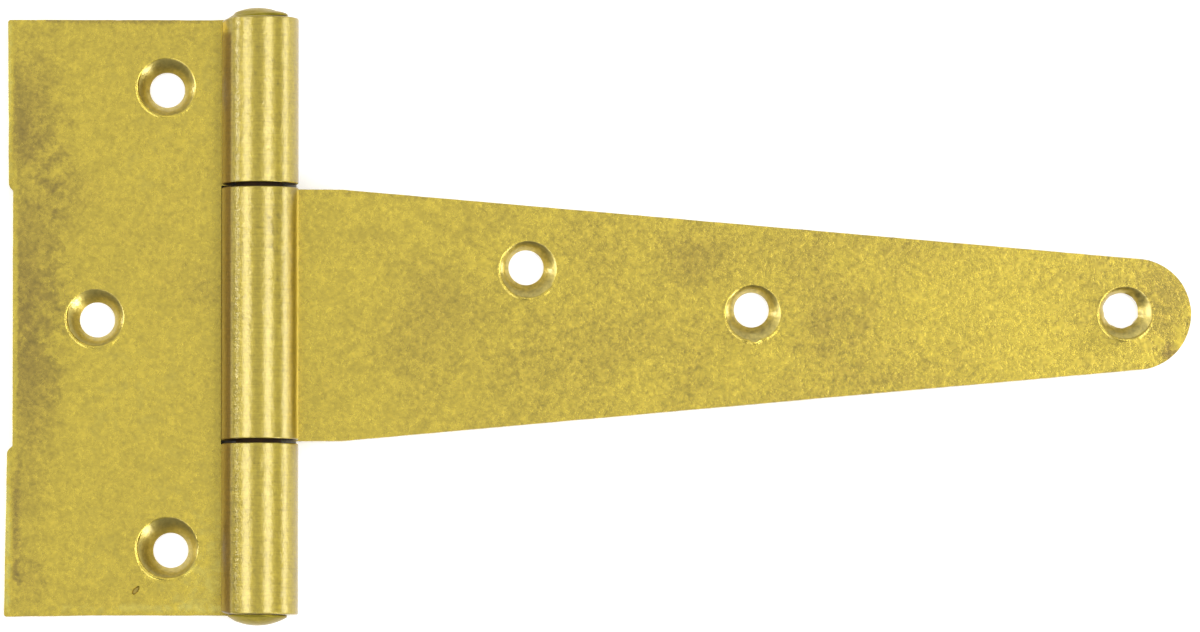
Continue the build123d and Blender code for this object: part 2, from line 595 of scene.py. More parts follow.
@dataclass(frozen=True)
class Scar:
    """A small pit in the front face.

    Attributes:
        x: Its middle along the hinge.
        y: Its middle along the pin.
        long: Half its length.
        wide: Half its width.
        turn: Angle of its length from +X, in degrees.
        depth: How deep it goes.
        bank: Width of its sloping bank, against half its width.
        stray: How far its outline strays, against its size.
        stray_pitch: Size of the bays in its outline.
        bottom_shade: How dark the painted shade at its bottom is, up to 1.
        corners: How many corners its outline has.
    """

    x: float
    y: float
    long: float
    wide: float
    turn: float
    depth: float
    bank: float = 0.4
    stray: float = 0.25
    stray_pitch: float = 0.3 * MM
    bottom_shade: float = 0.45
    corners: int = 12

    def sink(self, bm: BMesh, face_height: float) -> None:
        """Make the pit's bowl, to whose rim the face around it is joined later.

        Args:
            bm: The mesh that gets the bowl.
            face_height: Height of the face that the pit is in.
        """
        middle = Vector((self.x, self.y, face_height))
        turned = Matrix.Rotation(math.radians(self.turn), 4, "Z")
        place = Matrix.Translation(middle) @ turned @ Matrix.Diagonal((self.long, self.wide, 1, 1))
        made = bmesh.ops.create_circle(bm, cap_ends=True, segments=self.corners, radius=1, matrix=place)
        for corner in made["verts"]:
            corner.co += (corner.co - middle) * (noise.noise(corner.co / self.stray_pitch) * self.stray)
        bowl = [face for face in bm.faces if set(face.verts) <= set(made["verts"])]
        inner = bmesh.ops.inset_region(
            bm,
            faces=bowl,
            thickness=self.wide * self.bank,
            depth=-self.depth,
            use_boundary=True,
            use_even_offset=True,
        )
        sheared = layer(bm, Trace.SHEARED_AND_SHADE)
        # Painted shade on the pit's sunken points.
        for face in [*bowl, *inner["faces"]]:
            for point in face.verts:
                point[sheared] = self.bottom_shade if point.co.z < face_height - TOUCH else 0.0


@dataclass(frozen=True)
class ScrewHole:
    """A countersunk screw hole.

    Attributes:
        place: The hole's middle, from the frame.
        radius: Radius of the shank's hole.
        sink_radius: Radius of the countersink at the front face.
        shift: How far the countersink's middle lies from the shank hole's.
        lip: Height of the lip that the cutter pushed up round the countersink.
        lip_width: Width of that lip.
        lip_arc: How far the lip's outer side curves over, in degrees.
        lip_side: Angle from +X of the side where the lip stands highest, in degrees.
        lip_ripple: How uneven the lip's height is, against that height.
        lip_rate: How fast that changes round the hole.
        slope: Fall of the countersink's wall for each unit of its width.
        bulge: How far the wall swells from a straight cone.
        ridge: Height of the ridges that the cutter left on the wall.
        break_edge: Width of the chamfer at the back face. A smaller one leads into the cone.
        ragged: How far burrs stand into the shank hole.
        ragged_rate: How fast they change round it.
        nick: Angle from +X at which the rim is nicked, in degrees, or None.
        nick_from: How far up the cone the nick starts, from 0 at its foot to 1 at the rim.
        nick_half: Half the angle that the nick takes up, in degrees.
        nick_depth: How far the nick bites into the sheet.
        nick_burr: Height of the burr that it raised.
        segments: Facets round the hole.
        cone_steps: Rings down the countersink.
        lip_steps: Rings over the lip.
    """

    place: Vector
    radius: float = 2.95 * MM
    sink_radius: float = 4.85 * MM
    shift: tuple[float, ...] = (0.0, 0.0)
    lip: float = 0.08 * MM
    lip_width: float = 0.46 * MM
    lip_arc: float = 120.0
    lip_side: float = 222.0
    lip_ripple: float = 0.8
    lip_rate: float = 1.7
    slope: float = 0.88
    bulge: float = 0.3 * MM
    ridge: float = 0.02 * MM
    break_edge: float = 0.12 * MM
    ragged: float = 0.0
    ragged_rate: float = 2.6
    nick: float | None = None
    nick_from: float = 0.6
    nick_half: float = 11.0
    nick_depth: float = 0.42 * MM
    nick_burr: float = 0.22 * MM
    segments: int = 72
    cone_steps: int = 12
    lip_steps: int = 4

    def profile(self, sheet: float) -> list[tuple[float, float]]:
        """Trace the hole's wall.

        Args:
            sheet: Thickness of the sheet.

        Returns:
            Radius and height of each ring, from the back face to the front.
        """
        land = sheet - self.slope * (self.sink_radius - self.radius)
        rings = [
            (self.radius + self.break_edge, 0.0),
            (self.radius, self.break_edge),
            (self.radius, land - self.break_edge / 2),
        ]
        foot = self.radius + 0.4 * self.break_edge
        for step in range(self.cone_steps + 1):
            share = step / self.cone_steps
            swell = self.bulge * (share - share**3) * math.sqrt(0.5)
            radius = foot + (self.sink_radius - foot) * share - swell + self.ridge * (step % 2)
            rings.append((radius, land + (sheet - land) * share + swell))
        for step in range(1, self.lip_steps + 1):
            turn = math.radians(self.lip_arc) * step / self.lip_steps
            radius = self.sink_radius + self.lip_width * (1 - math.cos(turn)) / 2
            rings.append((radius, sheet + self.lip * math.sin(turn)))
        rings.append((self.sink_radius + 1.5 * self.lip_width, sheet))
        return rings

    def cut(self, bm: BMesh, sheet: float) -> None:
        """Make the hole's wall, with its first ring on the back face and its last on the front face.

        Args:
            bm: The mesh that gets the wall.
            sheet: Thickness of the sheet.
        """
        rings = self.profile(sheet)
        line = [bm.verts.new(self.place + Vector((radius, 0, height))) for radius, height in rings]
        edges = [bm.edges.new(pair) for pair in zip(line, line[1:])]
        before = set(bm.verts) - set(line)
        bmesh.ops.spin(
            bm,
            geom=line + edges,
            cent=self.place,
            axis=(0, 0, 1),
            angle=math.tau,
            steps=self.segments,
            use_merge=True,
        )
        turn, sunk = layer(bm, Trace.TURN), layer(bm, Trace.SUNK)
        for point in set(bm.verts) - before:
            outward = (point.co - self.place).to_2d()
            point[turn] = outward.length
            point[sunk] = 1.0 if outward.length < self.sink_radius else 0.0
            self.wear(point, outward, sheet)

    def wear(self, point: BMVert, outward: Vector, sheet: float) -> None:
        """Push one point of the wall off the true shape.

        Args:
            point: The point.
            outward: Its direction from the hole's middle, in plan.
            sheet: Thickness of the sheet.
        """
        rise = min(1.0, max(0.0, (outward.length - self.radius) / (self.sink_radius - self.radius)))
        facing = outward.normalized()
        on_lip = point.co.z > sheet + TOUCH
        offset = Vector(self.shift) * rise
        if self.ragged and 0 < point.co.z < sheet:
            burr = noise.noise(Vector((*facing, point.co.z / sheet)) * self.ragged_rate)
            offset += facing * (burr * self.ragged * (1 - rise))
        if on_lip:
            lean = 0.5 * (1 + facing.dot(heading(self.lip_side))) ** 2
            ripple = 1 + self.lip_ripple * noise.noise(facing.to_3d() * self.lip_rate)
            point.co.z = sheet + (point.co.z - sheet) * lean * ripple
        if self.nick is not None and rise > self.nick_from:
            away = math.degrees(facing.angle(heading(self.nick)))
            bite = max(0.0, 1 - away / self.nick_half)
            offset += facing * (self.nick_depth * bite)
            if on_lip:
                point.co.z += self.nick_burr * bite
        point.co.xy += offset


@dataclass
class Leaf:
    """A leaf of the hinge: one blank of sheet steel with its tongues rolled into knuckles.

    Attributes:
        datum: Places shared by all the pieces.
        finish: The leaf's plating.
        name: Name of the finished piece.
        node: The CAD node that it stands for, and the body that it rides on.
        side: The way the leaf runs from the pin.
        holes: Its screw holes.
        scars: Pits in its front face.
        sheet: Thickness of the sheet.
        rollover: Width of the rounding that the press leaves round the front face.
        back_break: Width of the rounding round the back face.
        seam_gap: How far a curl's cut end stops above the leaf's front face.
        edge_pitch: Spacing of the points along the outline.
        edge_wander: How far the sheared edge wanders inwards.
        edge_waves: Size of the broad and of the fine waves in it.
        true_root: Distance from the pin's axis within which the edge doesn't wander.
        edge_dark: How far the outline's cut edge has darkened.
        edge_facing: A face that looks up or down by less than this belongs to that edge.
        curl_steps: Facets round a curl.
        burnished_from: Angle round a curl beyond which the tool has burnished the sheet fully, in degrees.
        end_drop: How far the barrel's outer ends draw in at its flap side.
        far_drop: How far they draw in at the strap's side.
        end_facing: A face of a curl that looks along the pin by more than this is a knuckle's end.
        painted_reflection_from: Distance from the pin's axis at which the painted reflection on the flank
            starts.
        painted_reflection_fade: Over what distance it deepens.
        own_painted_reflection: How strong the painted reflection of the leaf's own shaded face is on the far
            flank.
    """

    datum: Datum
    finish: PassivatedZinc
    name: str
    node: str
    side: Side
    holes: list[ScrewHole]
    scars: list[Scar] = field(default_factory=list)
    sheet: float = 2.5 * MM
    rollover: float = 0.55 * MM
    back_break: float = 0.25 * MM
    seam_gap: float = 0.3 * MM
    edge_pitch: float = 1.4 * MM
    edge_wander: float = 0.09 * MM
    edge_waves: tuple[float, ...] = mm(6, 1.3)
    true_root: float = 8 * MM
    edge_dark: float = 0.35
    edge_facing: float = 0.35
    curl_steps: int = 128
    burnished_from: float = 40.0
    end_drop: float = 0.55 * MM
    far_drop: float = 0.055 * MM
    end_facing: float = 0.85
    painted_reflection_from: float = 4.75 * MM
    painted_reflection_fade: float = 0.3 * MM
    own_painted_reflection: float = 0.0

    def outline(self, bm: BMesh) -> BMFace:
        """Returns: The face of the leaf's plan, laid on the back plane."""
        raise NotImplementedError

    def at_root(self, points: Iterable[BMVert]) -> bool:
        """Returns: Whether all these points lie where the leaf meets its curl."""
        return all(abs(point.co.x) < TOUCH for point in points)

    def beside_barrel(self, points: Iterable[BMVert]) -> bool:
        """Returns: Whether all these points lie along the other knuckle, where the press left no rounding."""
        return all(TOUCH < abs(point.co.x) < self.datum.axis_height + self.rollover for point in points)

    def settle_ends(self, curl: set[BMVert]) -> None:
        """Draw in the outer ends of the knuckles towards the barrel's sides, as rolling leaves them.

        Args:
            curl: The points of the curls.
        """
        for point in curl:
            if abs(point.co.y) > self.datum.flap_half - 2 * self.back_break:
                drop = self.end_drop if point.co.x < 0 else self.far_drop
                aside = max(0.0, 2 * abs(point.co.x) / self.datum.axis_height - 1)
                point.co.y -= math.copysign(drop * aside**2, point.co.y)

    def roughen(self, bm: BMesh, face: BMFace) -> None:
        """Break the outline into short runs and let them wander inwards, as a sheared edge does.

        Args:
            bm: The mesh of the plan.
            face: The plan's face.
        """
        for edge in list(face.edges):
            cuts = int(edge.calc_length() / self.edge_pitch)
            if cuts and not self.at_root(edge.verts):
                bmesh.ops.subdivide_edges(bm, edges=[edge], cuts=cuts)
        moves: dict[BMVert, Vector] = {}
        for loop in face.loops:
            point = loop.vert
            if abs(point.co.x) < self.true_root:
                continue
            along = (loop.link_loop_next.vert.co - loop.link_loop_prev.vert.co).normalized()
            inward = Vector((-along.y, along.x, 0))
            broad, fine = (noise.noise(point.co / wave) for wave in self.edge_waves)
            moves[point] = inward * (self.edge_wander * max(0.0, 0.35 + 0.35 * broad + 0.5 * fine))
        for point, move in moves.items():
            point.co += move

    def thicken(self, bm: BMesh, face: BMFace) -> None:
        """Raise the plan to the sheet's thickness and round both faces' edges.

        Args:
            bm: The mesh of the plan.
            face: The plan's face.
        """
        raised = bmesh.ops.extrude_face_region(bm, geom=[face])["geom"]
        bmesh.ops.translate(bm, vec=(0, 0, self.sheet), verts=[v for v in raised if isinstance(v, BMVert)])
        bmesh.ops.recalc_face_normals(bm, faces=bm.faces)
        for height, width, segments in ((self.sheet, self.rollover, 6), (0.0, self.back_break, 3)):
            rim = [
                edge
                for edge in bm.edges
                if at_height(edge.verts, height)
                and not self.at_root(edge.verts)
                and not (height > 0 and self.beside_barrel(edge.verts))
            ]
            bevel(bm, rim, width, segments)

    def roll(self, bm: BMesh) -> set[BMVert]:
        """Roll the tongues round the pin, from the leaf's root back to its own front face.

        Args:
            bm: The leaf's mesh.

        Returns:
            The points of the curls.
        """
        radius = self.datum.axis_height
        seam_drop = math.asin((radius - self.sheet - self.seam_gap) / radius)
        sweep = math.radians(270) + seam_drop
        roots = [face for face in bm.faces if self.at_root(face.verts)]
        edges = {edge for face in roots for edge in face.edges}
        points = {point for face in roots for point in face.verts}
        before = set(bm.verts)
        bmesh.ops.spin(
            bm,
            geom=[*roots, *edges, *points],
            cent=self.datum.axis,
            axis=(0, 1, 0),
            angle=sweep * self.side.value,
            steps=self.curl_steps,
        )
        return set(bm.verts) - before

    def trace(self, bm: BMesh, curl: set[BMVert]) -> None:
        """Write where each point lay on the flat blank, where the sheet was rolled or sheared, and where
        shade and reflections are painted.

        Args:
            bm: The leaf's mesh.
            curl: The points of the curls.
        """
        blank, rolled, sheared, lee = (
            layer(bm, trace) for trace in (Trace.BLANK, Trace.ROLLED, Trace.SHEARED_AND_SHADE, Trace.PAINTED_REFLECTION)
        )
        radius = self.datum.axis_height
        for point in bm.verts:
            place = point.co
            point.normal_update()
            if point not in curl:
                point[blank] = place
                if abs(point.normal.z) < self.edge_facing:
                    point[sheared] = max(point[sheared], self.edge_dark)
                continue
            swept = math.atan2(-self.side.value * place.x, radius - place.z) % math.tau
            point[blank] = (-self.side.value * radius * swept, place.y, radius - self.datum.from_axis(place))
            point[rolled] = min(1.0, swept / math.radians(self.burnished_from))
            # Painted shade on the curl ends that face each other across the knuckle gaps.
            shaded_gap_end = abs(point.normal.y) > self.end_facing and abs(place.y) < self.datum.flap_half / 2
            point[sheared] = 1.0 if shaded_gap_end else 0.0
            # Painted reflection of the neighbouring leaf's shaded face on the knuckle's flanks.
            left = min(1.0, max(0.0, (-place.x - self.painted_reflection_from) / self.painted_reflection_fade))
            right = min(1.0, max(0.0, (place.x - self.painted_reflection_from) / (3 * self.painted_reflection_fade)))
            point[lee] = max(left, self.own_painted_reflection * right)

    def close_faces(self, bm: BMesh) -> None:
        """Replace the plain front and back faces by ones that the holes and pits open into.

        Args:
            bm: The leaf's mesh.
        """
        for height, outward in ((self.sheet, 1), (0.0, -1)):
            level = [face for face in bm.faces if at_height(face.verts, height)]
            plain = max(level, key=BMFace.calc_area)
            bmesh.ops.delete(bm, geom=[plain], context="FACES_ONLY")
            rims = [edge for edge in bm.edges if edge.is_boundary and at_height(edge.verts, height)]
            bmesh.ops.triangle_fill(bm, use_beauty=True, edges=rims, normal=(0, 0, outward))

    def build(self) -> bpy.types.Object:
        """Make the leaf's mesh, dress it and hang it on the frame.

        Returns:
            The finished piece.
        """
        bm = bmesh.new()
        for trace in Trace:
            layer(bm, trace)
        face = self.outline(bm)
        self.roughen(bm, face)
        self.thicken(bm, face)
        curl = self.roll(bm)
        self.settle_ends(curl)
        for hole in self.holes:
            hole.cut(bm, self.sheet)
        for scar in self.scars:
            scar.sink(bm, self.sheet)
        self.close_faces(bm)
        bmesh.ops.recalc_face_normals(bm, faces=bm.faces)
        self.trace(bm, curl)
        return finish_piece(bm, self.name, [self.finish.material()], self.node, self.node)


@dataclass
class Flap(Leaf):
    """The upright leaf, with the upper and lower knuckles and a notch for the strap's barrel.

    Attributes:
        notch_clearance: Between the strap's barrel and the notch's edge, where the sheared edge leans in.
        knuckle_gap: Between neighbouring knuckles, along the pin.
        corner: Plan radius of the outer corners.
        reach: From the pin's axis to the upper outer corner.
        ear_taper: How far the outer edge draws in from there down to the step.
        ear_flare: How much further the lower outer corner stands out.
        lower_edge_reach: From the pin's axis to where the lower edge starts to drop to that corner.
        parting_height: Length of the shallow step in the outer edge.
        parting_depth: Depth of that step.
        parting_drop: How far the step's middle lies below the flap's.
        parting_lead: Length of the slanted run at each end of the step.
    """

    notch_clearance: float = 0.1 * MM
    knuckle_gap: float = 0.6 * MM
    corner: float = 0.5 * MM
    reach: float = 42.5 * MM
    ear_taper: float = 0.2 * MM
    ear_flare: float = 0.45 * MM
    lower_edge_reach: float = 27.0 * MM
    parting_height: float = 44.5 * MM
    parting_depth: float = 0.9 * MM
    parting_drop: float = 0.2 * MM
    parting_lead: float = 0.8 * MM

    def outline(self, bm: BMesh) -> BMFace:
        """Lay the flap's plan on the back plane.

        Args:
            bm: The mesh that gets the plan.

        Returns:
            The plan's face.
        """
        half = self.datum.flap_half
        notch_x = -self.datum.axis_height - self.notch_clearance
        notch_top = self.datum.strap_high.y + self.knuckle_gap
        notch_bottom = self.datum.strap_low.y - self.knuckle_gap
        step_x = self.parting_depth - self.reach
        step_top = self.parting_height / 2 - self.parting_drop
        step_bottom = -self.parting_height / 2 - self.parting_drop
        points = [bm.verts.new((x, y, 0)) for x, y in (
            (0, half),
            (-self.reach, half),
            (self.ear_taper - self.reach, step_top),
            (step_x, step_top - self.parting_lead),
            (step_x, step_bottom + self.parting_lead),
            (-self.reach, step_bottom),
            (-self.reach - self.ear_flare, -half - self.ear_flare / 2),
            (-self.lower_edge_reach, -half),
            (0, -half),
            (0, notch_bottom),
            (notch_x, notch_bottom),
            (notch_x, notch_top),
            (0, notch_top),
        )]
        face = plan_face(bm, [*points, points[0]])
        outer = [point for point in face.verts if point.co.x < -self.reach + self.parting_depth / 2]
        bevel(bm, outer, self.corner, 4, "VERTICES")
        return bm.faces[:][0]


@dataclass
class Strap(Leaf):
    """The long leaf: parallel at its root, then tapering to run out into a round tip.

    Attributes:
        parallel: From the pin's axis to where the taper starts.
        tip_radius: Radius of the tip.
        tip_rise: How far the tip is centred above the strap's centreline.
        tip_steps: Facets round the tip.
    """

    parallel: float = 13.8 * MM
    tip_radius: float = 9.4 * MM
    tip_rise: float = 0.35 * MM
    tip_steps: int = 40
    # The strap's knuckle also shows a painted reflection of the strap's own shaded face.
    own_painted_reflection: float = 0.4

    def outline(self, bm: BMesh) -> BMFace:
        """Lay the strap's plan on the back plane.

        Args:
            bm: The mesh that gets the plan.

        Returns:
            The plan's face.
        """
        high = self.datum.strap_high
        middle = (self.datum.strap_low.y + high.y) / 2
        half = high.y - middle
        tip = Vector((high.x - self.tip_radius, middle + self.tip_rise, 0))
        run = tip.x - self.parallel

        def taper(side: int) -> float:
            """Returns: The angle of the edge on that side, 1 for the upper and -1 for the lower."""
            fall = half - side * self.tip_rise
            return math.atan2(fall, run) - math.asin(self.tip_radius / math.hypot(run, fall))

        lower = taper(-1)
        start = bm.verts.new(tip + self.tip_radius * Vector((math.sin(lower), -math.cos(lower), 0)))
        arc = bmesh.ops.spin(
            bm,
            geom=[start],
            cent=tip,
            axis=(0, 0, 1),
            angle=math.pi - lower - taper(1),
            steps=self.tip_steps,
        )
        end = next(item for item in arc["geom_last"] if isinstance(item, BMVert))
        top, bottom = middle + half, middle - half
        corners = ((self.parallel, top), (0, top), (0, bottom), (self.parallel, bottom))
        return plan_face(bm, [end, *(bm.verts.new((x, y, 0)) for x, y in corners), start])


@dataclass
class Pin:
    """The rivet that joins the leaves, with a peened head on each outer knuckle.

    Attributes:
        datum: Places shared by all the pieces.
        finish: The pin's plating.
        shank_radius: Radius of the shank.
        rim: Height of each head's upright edge.
        rim_break: Width of the rounding along that edge.
        top_tilt: How far the upper head stands off towards +X and comes down over the knuckle towards -X.
        bottom_tilt: How far the lower head does.
        flattened: How far the last blow drove the crowns down.
        hammered: Depth of the flats that peening left.
        hammer_face: Rough size of those flats.
        hammer_level: The noise below which the hammer struck.
        steps: Facets round the pin.
        dome_steps: Rings from a head's edge to its crown.
    """

    datum: Datum
    finish: PassivatedZinc
    shank_radius: float = 3.85 * MM
    rim: float = 0.35 * MM
    rim_break: float = 0.14 * MM
    top_tilt: float = 0.34 * MM
    bottom_tilt: float = 0.08 * MM
    flattened: float = 0.03 * MM
    hammered: float = 0.07 * MM
    hammer_face: float = 2.6 * MM
    hammer_level: float = 0.2
    steps: int = 72
    dome_steps: int = 12

    def turn(self, bm: BMesh, head_radius: float) -> None:
        """Turn the plain rivet on the pin's axis.

        Args:
            bm: The mesh that gets the rivet.
            head_radius: Radius of its heads.
        """
        top, knuckle_end = self.datum.pin_high.y, self.datum.flap_half
        crown = top - knuckle_end - self.rim
        sphere = (head_radius**2 + crown**2) / (2 * crown)
        edge_angle = math.asin(head_radius / sphere)
        half_line = [(self.shank_radius, 0.0), (self.shank_radius, knuckle_end), (head_radius, knuckle_end)]
        for step in range(self.dome_steps + 1):
            angle = edge_angle * (1 - step / self.dome_steps)
            half_line.append((sphere * math.sin(angle), top - sphere * (1 - math.cos(angle))))
        line = [(radius, -y) for radius, y in reversed(half_line[1:])] + half_line
        points = [bm.verts.new((radius, y, self.datum.axis_height)) for radius, y in line]
        edges = [bm.edges.new(pair) for pair in zip(points, points[1:])]
        bmesh.ops.spin(
            bm,
            geom=points + edges,
            cent=self.datum.axis,
            axis=(0, 1, 0),
            angle=math.tau,
            steps=self.steps,
            use_merge=True,
        )
        bmesh.ops.remove_doubles(bm, verts=bm.verts, dist=TOUCH)
        head_edges = [
            edge
            for edge in bm.edges
            if all(abs(self.datum.from_axis(point.co) - head_radius) < TOUCH for point in edge.verts)
            and abs(edge.verts[0].co.y - edge.verts[1].co.y) < TOUCH
        ]
        bevel(bm, head_edges, self.rim_break, 3)

    def peen(self, point: BMVert, climb: float, head_radius: float) -> None:
        """Hammer one point of a head down.

        Args:
            point: The point.
            climb: Its height on the head, from 0 at the knuckle to 1 at the crown.
            head_radius: Radius of the heads.
        """
        upper = point.co.y > 0
        lift = (self.top_tilt if upper else self.bottom_tilt) * point.co.x / head_radius
        dent = self.hammered * min(0.0, noise.noise(point.co / self.hammer_face) - self.hammer_level)
        point.co.y += (lift + dent - self.flattened * max(0.0, climb)) * (1 if upper else -1)

    def build(self) -> bpy.types.Object:
        """Make the pin's mesh, dress it and hang it on the frame.

        Returns:
            The finished piece.
        """
        low, high = self.datum.pin_low, self.datum.pin_high
        knuckle_end = self.datum.flap_half
        head_radius = (high.x - low.x) / 2
        head_shift = (high.x + low.x) / 2
        bm = bmesh.new()
        blank, rolled = layer(bm, Trace.BLANK), layer(bm, Trace.ROLLED)
        self.turn(bm, head_radius)
        for point in bm.verts:
            point[blank] = point.co
            point[rolled] = 1.0
            climb = (abs(point.co.y) - knuckle_end) / (high.y - knuckle_end)
            if climb > -TOUCH:
                if self.datum.from_axis(point.co) > self.shank_radius + TOUCH:
                    self.peen(point, climb, head_radius)
                point.co.x += head_shift
        bmesh.ops.recalc_face_normals(bm, faces=bm.faces)
        for face in bm.faces:
            face.material_index = int(all(abs(point.co.y) < knuckle_end + TOUCH for point in face.verts))
        # The shank, which shows only in the knuckle gaps, takes a dark material that paints their shade.
        finishes = [self.finish.material(), shaded_shank()]
        return finish_piece(bm, "peened_pin", finishes, "pin", "flap")


def shaded_shank() -> bpy.types.Material:
    """Returns: The pin's shank, dark with painted shade where it shows in the gaps between the knuckles."""
    bench = Bench(bpy.data.materials.new("bare_shank"))
    place = bench.signal("TexCoord", {}, "Object")
    blotches = bench.noise(place, 0.8 * MM, detail=3.0, roughness=0.6)
    return bench.close(bench.signal("BsdfPrincipled", {
        "Base Color": bench.blend(bench.ramp(blotches, 0.35, 0.7), linear(52, 36, 20), linear(84, 60, 32)),
        "Roughness": bench.spread(blotches, 0.6, 0.8),
        "Metallic": 0.5,
    }))


def finish_piece(
    bm: BMesh, name: str, materials: list[bpy.types.Material], node: str, body: str
) -> bpy.types.Object:
    """Turn a finished mesh into a piece of the hinge.

    Args:
        bm: The mesh, in the frame's own place. It is freed.
        name: The piece's name.
        materials: Its finishes, in the order of its faces' numbers for them.
        node: The CAD node that it stands for.
        body: The body that it rides on.

    Returns:
        The piece.
    """
    mesh = bpy.data.meshes.new(name)
    open_edges = sum(not edge.is_manifold for edge in bm.edges)
    bm.to_mesh(mesh)
    bm.free()
    for material in materials:
        mesh.materials.append(material)
    mesh.shade_smooth()
    mesh.set_sharp_from_angle(angle=math.radians(SMOOTH_UP_TO))
    piece = bpy.data.objects.new(name, mesh)
    bpy.context.scene.collection.objects.link(piece)
    normals = piece.modifiers.new("even_faces", "WEIGHTED_NORMAL")
    normals.mode = "FACE_AREA"
    normals.keep_sharp = True
    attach(piece, body)
    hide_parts(node)
    LOG.info("%s: %d faces, %d open edges, on body %s", name, len(mesh.polygons), open_edges, body)
    return piece


@dataclass(frozen=True)
class Softbox:
    """A rectangular studio lamp that shines at the hinge.

    Attributes:
        name: The lamp's name.
        place: Where its middle is.
        width: Its size across the pin's direction.
        length: Its size along the pin's direction.
        radiance: How bright its face is.
    """

    name: str
    place: Place
    width: float
    length: float
    radiance: float

    def hang(self) -> None:
        """Put the lamp in the scene."""
        light = bpy.data.lights.new(self.name, "AREA")
        light.shape = "RECTANGLE"
        light.size = self.width
        light.size_y = self.length
        light.energy = self.radiance * math.pi * self.width * self.length
        lamp = bpy.data.objects.new(self.name, light)
        lamp.matrix_world = stand(Vector(self.place), Vector((0, 0, 0)))
        lamp.visible_camera = False
        bpy.context.scene.collection.objects.link(lamp)


@dataclass(frozen=True)
class Studio:
    """The pale floor, the soft light and the camera.

    Attributes:
        sky: Brightness of the room overhead.
        horizon: Brightness of the room at floor level.
        rise: Height in the room's sphere over which the one turns into the other.
        near_side: Share of the brightness towards -Y, where the photographer stood.
        crossing: Half the width in the room's sphere over which it turns into full brightness.
        floor_size: Width of the floor.
        floor_drop: How far it lies below the hinge.
        floor_tone: How much light the floor sends back.
        floor_glow: White that the floor shows besides its light and shadow.
        painted_shadow_tone: How much light the floor sends back in the shadow painted under the barrel, where
            it shows only through slits.
        painted_shadow_reach: Half the width of that strip.
        painted_shadow_length: Half its length.
        painted_shadow_shift: How far its middle lies towards -X.
        painted_shadow_fade: Width of its soft border.
        photo_width: Width of the photograph's view at the hinge.
        photo_middle: The point at the middle of the photograph.
        camera_distance: From that point to the camera.
        camera_lean: How far the camera leans back towards -Y from straight above, in degrees.
        camera_turn: How far it leans towards -X, in degrees.
        camera_reach: Nearest and farthest distance that the camera sees.
        sensor: Width of the camera's sensor.
    """

    sky: float = 1.16
    horizon: float = 0.54
    rise: tuple[float, float] = (0.2, 0.75)
    near_side: float = 0.3
    crossing: float = 0.6
    floor_size: float = 12.0
    floor_drop: float = 0.05 * MM
    floor_tone: float = 0.94
    floor_glow: float = 0.3
    painted_shadow_tone: float = 0.2
    painted_shadow_reach: float = 6.5 * MM
    painted_shadow_length: float = 24 * MM
    painted_shadow_shift: float = 0.55 * MM
    painted_shadow_fade: float = 0.3 * MM
    photo_width: float = 202.05 * MM
    photo_middle: tuple[float, ...] = mm(57.2, 0.4, 1.25)
    camera_distance: float = 2.0
    camera_lean: float = 3.04
    camera_turn: float = 1.45
    camera_reach: tuple[float, float] = (0.01, 50.0)
    sensor: float = 36 * MM

    def light_room(self) -> None:
        """Give the world its soft, even light, dimmer towards -Y."""
        world = bpy.data.worlds.new("room")
        bpy.context.scene.world = world
        bench = Bench(world)
        _, across, up = bench.axes(bench.signal("TexCoord", {}, "Generated"))
        height = bench.ramp(up, *self.rise, self.horizon, self.sky, "LINEAR")
        side = bench.ramp(across, -self.crossing, self.crossing, self.near_side, 1.0, "LINEAR")
        bench.close(bench.signal("Background", {"Color": (1.0, 1.0, 1.0), "Strength": height * side}))

    def lay_floor(self) -> None:
        """Lay a white floor that keeps the hinge's soft shadow, with a shadow painted in a strip under the
        barrel.
        """
        bm = bmesh.new()
        below = Matrix.Translation((0, 0, -self.floor_drop))
        bmesh.ops.create_grid(bm, x_segments=1, y_segments=1, size=self.floor_size / 2, matrix=below)
        mesh = bpy.data.meshes.new("floor")
        bm.to_mesh(mesh)
        bm.free()
        bench = Bench(bpy.data.materials.new("white_floor"))
        x, y, _ = bench.axes(bench.signal("TexCoord", {}, "Object"))
        # Painted shadow: a dark strip under the barrel, which also loses the floor's glow.
        across = bench.ramp(abs(x + self.painted_shadow_shift), self.painted_shadow_reach, self.painted_shadow_reach + self.painted_shadow_fade)
        along = bench.ramp(abs(y), self.painted_shadow_length, self.painted_shadow_length + self.painted_shadow_fade)
        outside_painted_shadow = bench.math("MAXIMUM", across, along)
        shade = bench.blend(outside_painted_shadow, (self.painted_shadow_tone,) * 3, (self.floor_tone,) * 3)
        diffuse = bench.signal("BsdfDiffuse", {"Color": shade})
        rays = bench.node("LightPath", {})
        seen = Signal(bench, rays.outputs["Is Camera Ray"])
        for kind in ("Is Glossy Ray", "Is Transmission Ray"):
            seen = bench.math("MAXIMUM", seen, Signal(bench, rays.outputs[kind]))
        strength = seen * outside_painted_shadow * self.floor_glow
        glow = bench.signal("Emission", {"Color": (1.0, 1.0, 1.0), "Strength": strength})
        mesh.materials.append(bench.close(bench.signal("AddShader", {0: diffuse, 1: glow})))
        floor = bpy.data.objects.new("floor", mesh)
        bpy.context.scene.collection.objects.link(floor)

    def set_camera(self) -> None:
        """Stand the camera where the photograph was taken from."""
        data = bpy.data.cameras.new("camera")
        data.sensor_width = self.sensor / MM
        data.lens = data.sensor_width * self.camera_distance / self.photo_width
        data.clip_start, data.clip_end = self.camera_reach
        camera = bpy.data.objects.new("camera", data)
        lean, turn = math.radians(self.camera_lean), math.radians(self.camera_turn)
        away = Vector((-math.sin(turn), -math.sin(lean) * math.cos(turn), math.cos(lean) * math.cos(turn)))
        middle = Vector(self.photo_middle)
        camera.matrix_world = stand(middle + away * self.camera_distance, middle)
        bpy.context.scene.collection.objects.link(camera)
        bpy.context.scene.camera = camera

